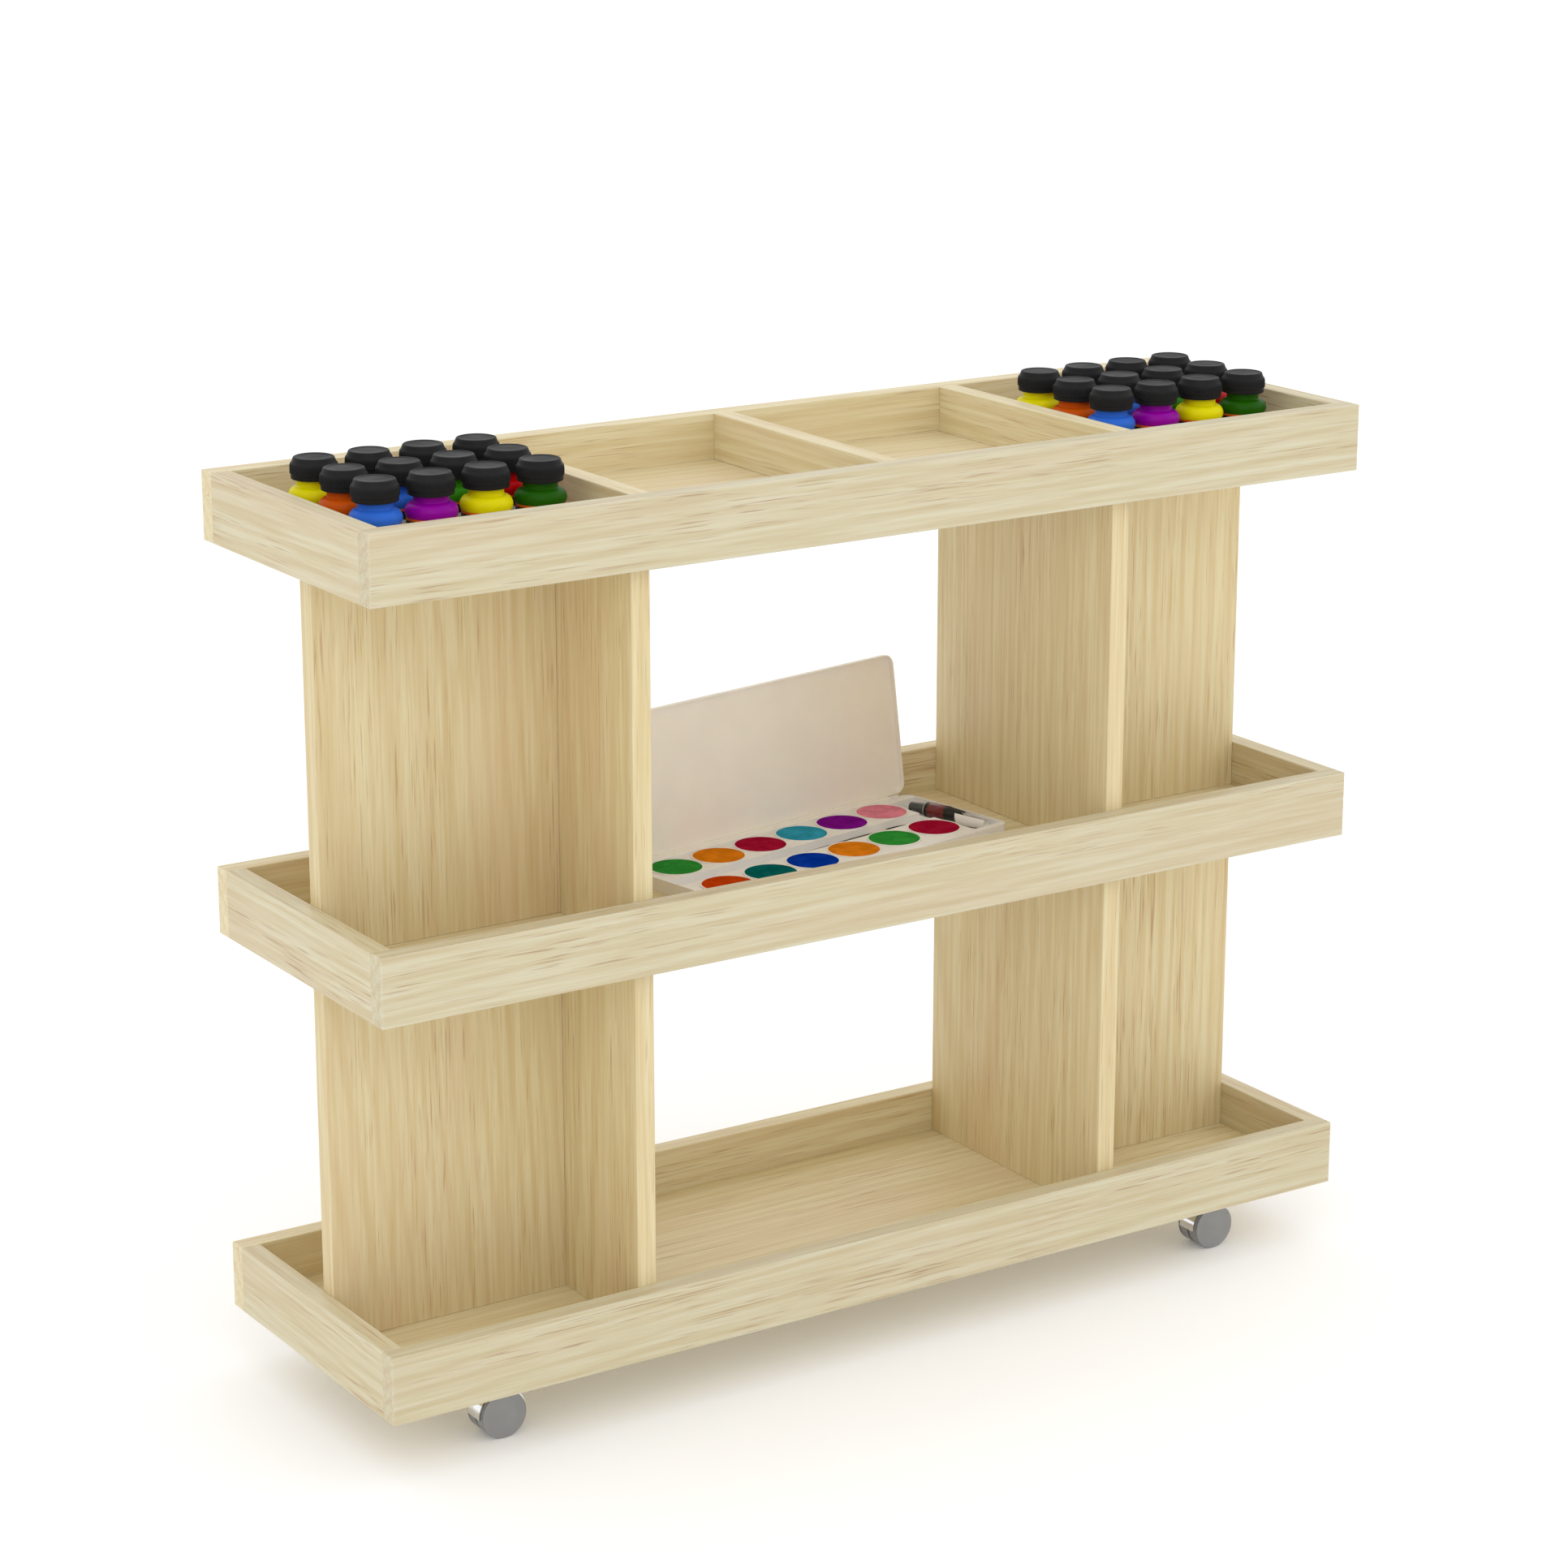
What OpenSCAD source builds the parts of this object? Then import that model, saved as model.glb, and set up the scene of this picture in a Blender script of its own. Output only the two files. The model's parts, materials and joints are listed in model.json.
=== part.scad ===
// Three-tier rolling paint rack: three shallow wooden trays on T-shaped uprights and
// four twin-wheel casters, with its paint bottles and a watercolour palette on board.
// Frame: +X along the length, +Y towards the back, +Z up, origin on the floor below the middle.

/* [Rack] */
// Length of a tray over its ends
rack_length = 1000; // [840:10:1300]
// Depth of a tray, front board to back board
rack_depth = 300; // [250:5:400]
// Height of a tray's boards
tray_height = 60; // [50:2:90]
// Rise from one tray's underside to the next one's
tray_pitch = 344; // [280:4:450]
// Thickness of every board and panel
board = 18; // [15:1:22]
// Eased edge on every board
ease = 0.6; // [0.3:0.1:1.5]

/* [Joinery] */
// Diameter of the wooden dowels
dowel_d = 8; // [6:1:8]
// Depth of a dowel in the face of a board
dowel_face_depth = 12; // [8:1:13]
// Depth of a dowel in the end of a board
dowel_end_depth = 24; // [16:1:30]
// Distance of the corner dowels from the edges of a tray board
corner_dowel_edge = 14; // [10:1:18]
// Distance from the middle to the outer floor dowels
floor_dowel_pitch = 330; // [240:10:380]
// Distance of the cross panel's dowels from the middle of the depth
cross_dowel_y = 80; // [60:5:95]
// Distance of the centre panel's dowels from the panel's ends
centre_dowel_edge = 45; // [30:5:60]
// Length of the screws below the lower panels
panel_screw_length = 50; // [40:5:60]
// Shank diameter of those screws
panel_screw_d = 6; // [4:0.5:7]
// Head diameter of those screws
panel_screw_head_d = 10; // [9:0.5:12]

/* [Casters] */
// Height from the floor to the underside of the bottom tray
caster_height = 56; // [54:1:75]
// Diameter of a wheel
wheel_d = 42; // [34:1:44]
// Width over the two wheels of a caster
twin_width = 28; // [26:1:40]
// Distance of a stem from the end of the rack
stem_from_end = 116; // [90:2:150]
// Distance of a stem from the front or back of the rack
stem_from_side = 51; // [45:1:80]
// Trail of the axle behind the stem
trail = 8; // [4:0.5:12]
// Radial gap between a wheel and its hood
hood_gap = 0.4; // [0.3:0.1:1.5]
// Thickness of the hood
hood_wall = 1.2; // [0.8:0.1:2.5]
// Width of the hood
hood_width = 20; // [16:1:22]
// Side of the square mounting plate
plate_side = 38; // [32:1:46]
// Thickness of the mounting plate
plate_wall = 2; // [1.5:0.5:3]
// Distance between the screws of a plate
plate_screw_pitch = 28; // [24:1:32]
// Shank diameter of the caster screws
caster_screw_d = 3.5; // [3:0.5:4]
// Depth of the caster screws in the wood
caster_screw_depth = 13; // [8:1:14]
// Diameter of the kingpin that the hood turns on
kingpin_d = 7; // [5:0.5:9]
// Diameter of the axle
axle_d = 5; // [4:0.5:6]
// Radial running clearance of kingpin and axle
running_gap = 0.05; // [0.02:0.01:0.1]

/* [Bottles] */
// Largest diameter of a bottle
bottle_d = 43.6; // [34:0.2:44]
// Height of a bottle with its cap
bottle_height = 63; // [50:1:80]
// Height of a cap
cap_height = 18; // [14:0.5:20]
// Diameter of a cap
cap_d = 40; // [34:0.5:43]
// Diameter of a bottle's neck
neck_d = 29; // [20:0.5:30]
// Spacing of the bottles along the rack
bottle_spacing_x = 50.3; // [45:0.1:60]
// Spacing of the bottles across the rack
bottle_spacing_y = 53.7; // [46:0.1:60]
// Least gap from the bottles to the boards at their sides
bottle_gap = 2; // [1:0.5:6]

/* [Palette] */
// Length of the palette
palette_length = 347.6; // [342:0.2:400]
// Depth of the palette
palette_depth = 131; // [130:0.5:140]
// Height of the palette's base
palette_height = 12; // [10:0.5:16]
// Wall of the palette's base and lid
palette_wall = 1.6; // [1:0.1:2.5]
// Turn of the palette on its shelf
palette_yaw = 10; // [0:1:14]
// Share of the free length that lies left of the palette
palette_left_share = 0.7; // [0.1:0.01:0.9]
// Share of the free depth that lies in front of the palette
palette_front_share = 0.66; // [0.1:0.01:0.9]
// Outer diameter of a pan's rim
pan_d = 49.2; // [40:0.2:50]
// Spacing of the pans along the palette
pan_spacing = 50.5; // [50.2:0.1:51]
// Half the distance between the two rows of pans
pan_row = 34; // [33:0.1:34.5]
// Distance of the rows' middle behind the middle of the palette
pans_behind = 6; // [0:0.5:6]
// Opening angle of the lid as it stands
lid_open = 98; // [91:1:110]
// Depth of the lid
lid_depth = 5.7; // [5:0.1:9]

/* [Hidden] */
$fn = 64;
eps = 0.01;

// Levels and sides
BOTTOM = 0;
MIDDLE = 1;
TOP = 2;
LEFT = -1;
RIGHT = 1;
FRONT = -1;
BACK = 1;

// Trays: four equal compartments, with the cross panels right below the outer dividers
inner_length = rack_length - 2 * board;
inner_depth = rack_depth - 2 * board;
compartment = (rack_length - 5 * board) / 4;
divider_x = compartment + board;
floor_rise = board;
wall_above_floor = tray_height - board;
upright_height = tray_pitch - board;
dowel_length = dowel_face_depth + dowel_end_depth;
panel_screw_head = 3;
dowel_in_panel = 18;
dowel_in_divider = 9;
hex_d = 4;
hex_depth = 2.5;

// Casters
wheel_r = wheel_d / 2;
plate_underside = caster_height - plate_wall;
hood_in_r = wheel_r + hood_gap;
hood_out_r = hood_in_r + hood_wall;
hood_web = 2.6;
hood_low_edge = 1.5;
hood_rear_rise = 6;
hub_r = 6;
boss_d = kingpin_d + 7;
boss_gap = 0.6;
kingpin_length = plate_underside - wheel_r - hood_out_r - 1.4;
kingpin_end_gap = 0.5;
wheel_side_gap = 0.4;
wheel_width = (twin_width - hood_web) / 2 - wheel_side_gap;
wheel_edge = 0.4;
cover_wall = 1.2;
cover_groove = 1;
cover_groove_depth = 2.2;
wheel_rim = 3.5;
wheel_web = 2.6;
axle_in_wheel = 8.8;
axle_end_gap = 0.2;
screw_head_d = 7;
screw_head = 1.8;
screw_hole_gap = 0.35;

// Bottles: rows from front to back, each from left to right
BOTTLE_COLOURS = [["blue", "purple", "yellow", "dark_green"],
    ["orange", "blue", "light_green", "red"],
    ["yellow", "red", "orange", "purple"]];
bottle_columns = len(BOTTLE_COLOURS[0]);
bottle_rows = len(BOTTLE_COLOURS);
bottle_pitch_x = min(bottle_spacing_x,
    (compartment - bottle_d - 2 * bottle_gap) / (bottle_columns - 1));
bottle_group_x = divider_x + board / 2 + compartment / 2;
bulge_r = 8;
bulge_below_cap = 14;
label_d = bottle_d - 2.2;
cap_top_wall = 3;

// Palette, drawn about the middle of its underside and then turned on the shelf
palette_corner = 10;
deck_z = palette_height - 1;
channel_z = palette_height - 8;
channel_w = 2 * pan_row - pan_d;
pan_wall = 1.4;
pan_floor = 2;
paint_below_rim = 0.2;
pan_columns = 6;
locker_w = 31.2;
locker_wall = 1.2;
locker_wall_z = palette_height - 4;
locker_left = palette_length / 2 - palette_wall - locker_w;
last_pan_x = locker_left - locker_wall - 1.4 - pan_d / 2;
hinge_r = 2.1;
hinge_pin_r = 1.2;
hinge_axis_y = palette_depth / 2 + hinge_r + 0.3;
hinge_axis_z = palette_height - 1.2;
knuckle = 10;
knuckle_gap = 0.3;
hinge_x = palette_length / 2 - 22;
hinge_barrel = 2 * hinge_x - knuckle_gap;
lid_gap = 0.3;

// Where the palette stands: its reach to all sides, the opened lid's at the back board's rim
side_reach = palette_length / 2 * cos(palette_yaw) + palette_depth / 2 * sin(palette_yaw);
front_reach = palette_length / 2 * sin(palette_yaw) + palette_depth / 2 * cos(palette_yaw);
lid_back = hinge_axis_y
    + (palette_height + lid_gap + lid_depth - hinge_axis_z) / cos(lid_open - 90)
    + (wall_above_floor - hinge_axis_z) * tan(lid_open - 90);
back_reach = palette_length / 2 * sin(palette_yaw) + lid_back * cos(palette_yaw);
bay_half_length = divider_x - board / 2;
palette_x = side_reach - bay_half_length
    + palette_left_share * 2 * (bay_half_length - side_reach);
palette_y = front_reach - inner_depth / 2
    + palette_front_share * (inner_depth - front_reach - back_reach);

// Brush and marker
brush_length = 273;
brush_r = 2.2;
brush_turn = 1.9;
brush_from_left = 15.3;
brush_from_channel_side = 2.8;
ferrule_length = 22;
bristle_length = 22;
marker_r = 6.9;
marker_length = 57.3;
marker_cap = 17;
marker_turn = 14;
marker_tip_from_right = 7.4;
marker_tip_from_back = 79.9;

function tray_z(level) = caster_height + level * tray_pitch;
function floor_z(level) = tray_z(level) + floor_rise;

module wood() color([0.86, 0.81, 0.66]) children();
module pine() color([0.80, 0.68, 0.48]) children();
module steel() color([0.72, 0.73, 0.75]) children();
module chrome() color([0.88, 0.88, 0.90]) children();
module wheel_grey() color([0.55, 0.55, 0.55]) children();

module mirrored_x() {
    children();
    mirror([1, 0, 0]) children();
}

module mirrored_y() {
    children();
    mirror([0, 1, 0]) children();
}

module eased_outline(w, h)
    polygon([[ease, 0], [w - ease, 0], [w, ease], [w, h - ease],
        [w - ease, h], [ease, h], [0, h - ease], [0, ease]]);

// A board with its lowest corner at the origin and all its edges eased
module eased_board(size)
    intersection() {
        linear_extrude(size.z) eased_outline(size.x, size.y);
        translate([0, size.y, 0]) rotate([90, 0, 0])
            linear_extrude(size.y) eased_outline(size.x, size.z);
        rotate([90, 0, 90]) linear_extrude(size.x) eased_outline(size.y, size.z);
    }

// A bar along +Y from a point
module bar_y(from, d, length)
    translate(from) rotate([-90, 0, 0]) cylinder(d = d, h = length);

// A rectangle with rounded corners, centred
module rounded_rect(w, h, r) {
    square([w - 2 * r, h], center = true);
    square([w, h - 2 * r], center = true);
    for (x = [-1, 1], y = [-1, 1])
        translate([x * (w / 2 - r), y * (h / 2 - r)]) circle(r);
}

// ---------- joinery ----------

module corner_dowels(level)
    mirrored_x() mirrored_y()
        for (rise = [corner_dowel_edge, tray_height - corner_dowel_edge])
            bar_y([rack_length / 2 - board / 2, -rack_depth / 2 + board - dowel_face_depth,
                tray_z(level) + rise], dowel_d, dowel_length);

module floor_dowels(level)
    mirrored_y()
        for (x = [-floor_dowel_pitch, 0, floor_dowel_pitch])
            bar_y([x, -rack_depth / 2 + board - dowel_face_depth,
                tray_z(level) + board / 2], dowel_d, dowel_length);

module divider_dowels()
    mirrored_y()
        for (x = [-divider_x, 0, divider_x])
            bar_y([x, -rack_depth / 2 + board - dowel_face_depth,
                floor_z(TOP) + wall_above_floor / 2], dowel_d, dowel_length);

// Points where a pair of uprights is fastened: on the cross panels, then on the centre panels
module at_cross_fasteners()
    mirrored_x() mirrored_y() translate([divider_x, cross_dowel_y, 0]) children();

module at_centre_fasteners()
    mirrored_x()
        for (x = [divider_x + board / 2 + centre_dowel_edge,
                inner_length / 2 - centre_dowel_edge])
            translate([x, 0, 0]) children();

module upright_dowel_set() {
    // through the middle tray's floor, into the panels below and above it
    translate([0, 0, tray_z(MIDDLE) - dowel_in_panel]) {
        at_cross_fasteners() cylinder(d = dowel_d, h = 2 * dowel_in_panel + board);
        at_centre_fasteners() cylinder(d = dowel_d, h = 2 * dowel_in_panel + board);
    }
    // through the top tray's floor into the dividers, and blind where no divider stands
    translate([0, 0, tray_z(TOP) - dowel_end_depth]) {
        at_cross_fasteners()
            cylinder(d = dowel_d, h = dowel_end_depth + board + dowel_in_divider);
        at_centre_fasteners() cylinder(d = dowel_d, h = dowel_length);
    }
}

module panel_screw()
    translate([0, 0, tray_z(BOTTOM)]) {
        cylinder(d1 = panel_screw_head_d, d2 = panel_screw_d, h = panel_screw_head);
        cylinder(d = panel_screw_d, h = panel_screw_length);
    }

module panel_screw_set() {
    at_cross_fasteners() panel_screw();
    at_centre_fasteners() panel_screw();
}

// ---------- trays ----------

module tray_long_board(level, side)
    wood() difference() {
        translate([-rack_length / 2, side < 0 ? -rack_depth / 2 : rack_depth / 2 - board,
            tray_z(level)]) eased_board([rack_length, board, tray_height]);
        corner_dowels(level);
        floor_dowels(level);
        if (level == TOP) divider_dowels();
    }

module tray_end(level, side)
    wood() difference() {
        translate([side < 0 ? -rack_length / 2 : rack_length / 2 - board, -inner_depth / 2,
            tray_z(level)]) eased_board([board, inner_depth, tray_height]);
        corner_dowels(level);
    }

module tray_base(level)
    wood() difference() {
        translate([-inner_length / 2, -inner_depth / 2, tray_z(level)])
            eased_board([inner_length, inner_depth, board]);
        floor_dowels(level);
        if (level == BOTTOM) {
            panel_screw_set();
            caster_screw_set();
        } else {
            upright_dowel_set();
        }
    }

module divider(x)
    wood() difference() {
        translate([x - board / 2, -inner_depth / 2, floor_z(TOP)])
            eased_board([board, inner_depth, wall_above_floor]);
        divider_dowels();
        if (x != 0) upright_dowel_set();
    }

module bottom_front_board() tray_long_board(BOTTOM, FRONT);
module bottom_back_board() tray_long_board(BOTTOM, BACK);
module bottom_left_end() tray_end(BOTTOM, LEFT);
module bottom_right_end() tray_end(BOTTOM, RIGHT);
module bottom_base() tray_base(BOTTOM);
module middle_front_board() tray_long_board(MIDDLE, FRONT);
module middle_back_board() tray_long_board(MIDDLE, BACK);
module middle_left_end() tray_end(MIDDLE, LEFT);
module middle_right_end() tray_end(MIDDLE, RIGHT);
module middle_base() tray_base(MIDDLE);
module top_front_board() tray_long_board(TOP, FRONT);
module top_back_board() tray_long_board(TOP, BACK);
module top_left_end() tray_end(TOP, LEFT);
module top_right_end() tray_end(TOP, RIGHT);
module top_base() tray_base(TOP);
module left_divider() divider(-divider_x);
module middle_divider() divider(0);
module right_divider() divider(divider_x);

// ---------- uprights ----------

module panel_fasteners(level) {
    upright_dowel_set();
    if (level == BOTTOM) panel_screw_set();
}

module cross_panel(level, side)
    wood() difference() {
        translate([side * divider_x - board / 2, -inner_depth / 2, floor_z(level)])
            eased_board([board, inner_depth, upright_height]);
        panel_fasteners(level);
    }

module centre_panel(level, side)
    wood() difference() {
        translate([side < 0 ? -inner_length / 2 : divider_x + board / 2, -board / 2,
            floor_z(level)]) eased_board([compartment, board, upright_height]);
        panel_fasteners(level);
    }

module lower_left_cross_panel() cross_panel(BOTTOM, LEFT);
module lower_left_centre_panel() centre_panel(BOTTOM, LEFT);
module lower_right_cross_panel() cross_panel(BOTTOM, RIGHT);
module lower_right_centre_panel() centre_panel(BOTTOM, RIGHT);
module upper_left_cross_panel() cross_panel(MIDDLE, LEFT);
module upper_left_centre_panel() centre_panel(MIDDLE, LEFT);
module upper_right_cross_panel() cross_panel(MIDDLE, RIGHT);
module upper_right_centre_panel() centre_panel(MIDDLE, RIGHT);

module tray_dowels()
    pine() {
        for (level = [BOTTOM, MIDDLE, TOP]) {
            corner_dowels(level);
            floor_dowels(level);
        }
        divider_dowels();
    }

module upright_dowels() pine() upright_dowel_set();

module hex_socket() cylinder(d = hex_d, h = hex_depth, $fn = 6);

module panel_screws()
    steel() difference() {
        panel_screw_set();
        translate([0, 0, tray_z(BOTTOM) - eps]) {
            at_cross_fasteners() hex_socket();
            at_centre_fasteners() hex_socket();
        }
    }

// ---------- casters ----------

// Places a caster's stem axis, at the height of its axle
module at_stem(side_x, side_y)
    translate([side_x * (rack_length / 2 - stem_from_end),
        side_y * (rack_depth / 2 - stem_from_side), wheel_r]) children();

module at_every_stem()
    for (x = [LEFT, RIGHT], y = [FRONT, BACK]) at_stem(x, y) children();

module at_axle(side_x, side_y) at_stem(side_x, side_y) translate([trail, 0, 0]) children();

module at_plate_screws()
    at_every_stem()
        for (x = [-1, 1], y = [-1, 1])
            translate([x * plate_screw_pitch / 2, y * plate_screw_pitch / 2, -wheel_r]) children();

module caster_screw_set()
    at_plate_screws() translate([0, 0, plate_underside])
        cylinder(d = caster_screw_d, h = plate_wall + caster_screw_depth);

module caster_screws()
    steel() {
        caster_screw_set();
        at_plate_screws() translate([0, 0, plate_underside - screw_head])
            difference() {
                cylinder(d = screw_head_d, h = screw_head);
                for (turn = [0, 90]) rotate([0, 0, turn])
                    translate([-2, -0.4, -eps]) cube([4, 0.8, 1]);
            }
    }

module caster_plates()
    steel() difference() {
        at_every_stem() translate([0, 0, plate_underside - wheel_r]) {
            linear_extrude(plate_wall) rounded_rect(plate_side, plate_side, 4);
            translate([0, 0, -kingpin_length]) cylinder(d = kingpin_d, h = kingpin_length + eps);
        }
        at_plate_screws() translate([0, 0, plate_underside - eps])
            cylinder(r = caster_screw_d / 2 + screw_hole_gap, h = plate_wall + 2 * eps);
    }

module caster_hood(side_x, side_y)
    chrome() at_axle(side_x, side_y) difference() {
        union() {
            difference() {
                union() {
                    bar_y([0, -hood_width / 2, 0], 2 * hood_out_r, hood_width);
                    translate([-trail, 0, hood_out_r - 8])
                        cylinder(d = boss_d,
                            h = plate_underside - boss_gap - wheel_r - hood_out_r + 8);
                }
                // room for the wheels on both sides of the web
                mirrored_y() bar_y([0, hood_web / 2, 0], 2 * hood_in_r, hood_width);
                // the hood ends a little below the axle in front and above it behind
                rotate([90, 0, 0]) translate([0, 0, -hood_width])
                    linear_extrude(2 * hood_width)
                        polygon([[-2 * wheel_r, -hood_low_edge], [0, -hood_low_edge],
                            [2 * wheel_r, hood_rear_rise * 2], [2 * wheel_r, -2 * wheel_r],
                            [-2 * wheel_r, -2 * wheel_r]]);
            }
            bar_y([0, -hood_web / 2, 0], 2 * hub_r, hood_web);
        }
        bar_y([0, -hood_width, 0], axle_d, 2 * hood_width);
        translate([-trail, 0, plate_underside - wheel_r - kingpin_length - kingpin_end_gap])
            cylinder(r = kingpin_d / 2 + running_gap, h = kingpin_length + kingpin_end_gap);
    }

module caster_axle(side_x, side_y)
    steel() at_axle(side_x, side_y)
        bar_y([0, -hood_web / 2 - wheel_side_gap - axle_in_wheel, 0], axle_d,
            hood_web + 2 * wheel_side_gap + 2 * axle_in_wheel);

// A wheel with its axis on +Z, its open side at z = 0 and its flat cover on top
module wheel_body() {
    bore_r = axle_d / 2 + running_gap;
    bore = axle_in_wheel + axle_end_gap;
    rim_r = wheel_r - wheel_rim;
    recess = wheel_width - cover_wall - cover_groove - wheel_web + cover_groove_depth / 2;
    groove_z = wheel_width - cover_wall - cover_groove;
    cover_z = wheel_width - cover_wall;
    rotate_extrude($fn = 96)
        polygon([[bore_r, 0], [hub_r, 0], [hub_r, recess], [rim_r, recess], [rim_r, 0],
            [wheel_r - wheel_edge, 0], [wheel_r, wheel_edge],
            [wheel_r, groove_z - wheel_edge], [wheel_r - wheel_edge, groove_z],
            [wheel_r - cover_groove_depth, groove_z], [wheel_r - cover_groove_depth, cover_z],
            [wheel_r, cover_z], [wheel_r, wheel_width - wheel_edge],
            [wheel_r - wheel_edge, wheel_width], [0, wheel_width], [0, bore], [bore_r, bore]]);
}

module caster_wheel(side_x, side_y, face)
    wheel_grey() at_axle(side_x, side_y)
        translate([0, face * (hood_web / 2 + wheel_side_gap), 0])
            rotate([face < 0 ? 90 : -90, 0, 0]) wheel_body();

module front_left_hood() caster_hood(LEFT, FRONT);
module front_left_axle() caster_axle(LEFT, FRONT);
module front_left_outer_wheel() caster_wheel(LEFT, FRONT, -1);
module front_left_inner_wheel() caster_wheel(LEFT, FRONT, 1);
module front_right_hood() caster_hood(RIGHT, FRONT);
module front_right_axle() caster_axle(RIGHT, FRONT);
module front_right_outer_wheel() caster_wheel(RIGHT, FRONT, -1);
module front_right_inner_wheel() caster_wheel(RIGHT, FRONT, 1);
module back_left_hood() caster_hood(LEFT, BACK);
module back_left_axle() caster_axle(LEFT, BACK);
module back_left_outer_wheel() caster_wheel(LEFT, BACK, 1);
module back_left_inner_wheel() caster_wheel(LEFT, BACK, -1);
module back_right_hood() caster_hood(RIGHT, BACK);
module back_right_axle() caster_axle(RIGHT, BACK);
module back_right_outer_wheel() caster_wheel(RIGHT, BACK, 1);
module back_right_inner_wheel() caster_wheel(RIGHT, BACK, -1);

// ---------- bottles ----------

module at_bottle(side, row, column)
    translate([side * bottle_group_x + (column - (bottle_columns - 1) / 2) * bottle_pitch_x,
        (row - (bottle_rows - 1) / 2) * bottle_spacing_y, floor_z(TOP)]) children();

module bottle_body() {
    bulge_z = bottle_height - cap_height - bulge_below_cap;
    rotate_extrude() intersection() {
        union() {
            square([label_d / 2, bulge_z]);
            translate([bottle_d / 2 - bulge_r, bulge_z]) circle(bulge_r);
            translate([0, bulge_z]) square([bottle_d / 2 - bulge_r, bulge_r]);
            square([neck_d / 2, bottle_height - cap_top_wall]);
        }
        square([bottle_d, bottle_height]);
    }
}

module bottles_of(name)
    for (side = [LEFT, RIGHT], row = [0 : bottle_rows - 1], column = [0 : bottle_columns - 1])
        if (BOTTLE_COLOURS[row][column] == name) at_bottle(side, row, column) bottle_body();

module blue_bottles() color([0.18, 0.41, 0.84]) bottles_of("blue");
module purple_bottles() color([0.59, 0, 0.63]) bottles_of("purple");
module yellow_bottles() color([0.92, 0.88, 0]) bottles_of("yellow");
module dark_green_bottles() color([0.1, 0.35, 0]) bottles_of("dark_green");
module light_green_bottles() color([0.2, 0.55, 0.06]) bottles_of("light_green");
module orange_bottles() color([0.8, 0.31, 0]) bottles_of("orange");
module red_bottles() color([0.78, 0, 0]) bottles_of("red");

module bottle_cap() {
    r = cap_d / 2;
    foot = bottle_height - cap_height;
    translate([0, 0, foot]) rotate_extrude()
        polygon([[neck_d / 2, 0], [r - 0.9, 0], [r - 0.9, 4.4], [r, 5], [r, cap_height - 7],
            [r - 0.9, cap_height - 4.2], [r - 3.1, cap_height - 0.8],
            [r - 3.8, cap_height], [0, cap_height], [0, cap_height - cap_top_wall],
            [neck_d / 2, cap_height - cap_top_wall]]);
}

module bottle_caps()
    color([0.16, 0.16, 0.16])
        for (side = [LEFT, RIGHT], row = [0 : bottle_rows - 1],
                column = [0 : bottle_columns - 1])
            at_bottle(side, row, column) bottle_cap();

// ---------- palette ----------

module at_palette()
    translate([palette_x, palette_y, floor_z(MIDDLE)])
        rotate([0, 0, palette_yaw]) children();

module at_pans()
    for (row = [-1, 1], column = [0 : pan_columns - 1])
        translate([last_pan_x - column * pan_spacing, pans_behind + row * pan_row, 0])
            children();

// Both ends of the hinge: a knuckle of the base outside, the lid's long barrel inside
module at_hinge_ends() mirrored_x() translate([hinge_x, 0, 0]) children();

module bar_x(from, r, length)
    translate(from) rotate([0, 90, 0]) cylinder(r = r, h = length);

module palette_base()
    color([0.9, 0.9, 0.9]) at_palette() difference() {
        union() {
            difference() {
                linear_extrude(palette_height)
                    rounded_rect(palette_length, palette_depth, palette_corner);
                translate([0, 0, deck_z]) linear_extrude(palette_height)
                    rounded_rect(palette_length - 2 * palette_wall,
                        palette_depth - 2 * palette_wall, palette_corner - palette_wall);
                // channel for the brush, up to the locker's low wall
                translate([-palette_length / 2 + palette_wall, pans_behind - channel_w / 2,
                        channel_z])
                    cube([palette_length / 2 - palette_wall + locker_left - locker_wall,
                        channel_w, palette_height]);
                translate([last_pan_x + pan_d / 2, -palette_depth / 2 + palette_corner,
                        locker_wall_z])
                    cube([locker_left - last_pan_x - pan_d / 2 + eps,
                        palette_depth - 2 * palette_corner, palette_height]);
                // locker at the right-hand end
                translate([locker_left, -palette_depth / 2 + palette_corner, pan_floor])
                    cube([locker_w, palette_depth - 2 * palette_corner, palette_height]);
            }
            at_pans() cylinder(d = pan_d, h = palette_height);
            at_hinge_ends() {
                translate([knuckle_gap / 2, palette_depth / 2 - eps, hinge_axis_z - 3 * hinge_r])
                    cube([knuckle, hinge_axis_y - palette_depth / 2, 3 * hinge_r]);
                bar_x([knuckle_gap / 2, hinge_axis_y, hinge_axis_z], hinge_r, knuckle);
            }
        }
        at_pans() translate([0, 0, pan_floor])
            cylinder(d = pan_d - 2 * pan_wall, h = palette_height);
        at_hinge_ends() bar_x([-eps, hinge_axis_y, hinge_axis_z],
            hinge_pin_r + running_gap, knuckle + knuckle_gap);
    }

module palette_paints()
    color([0.7, 0.3, 0.2]) at_palette()
        at_pans() translate([0, 0, pan_floor])
            cylinder(d = pan_d - 2 * pan_wall,
                h = palette_height - paint_below_rim - pan_floor);

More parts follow.
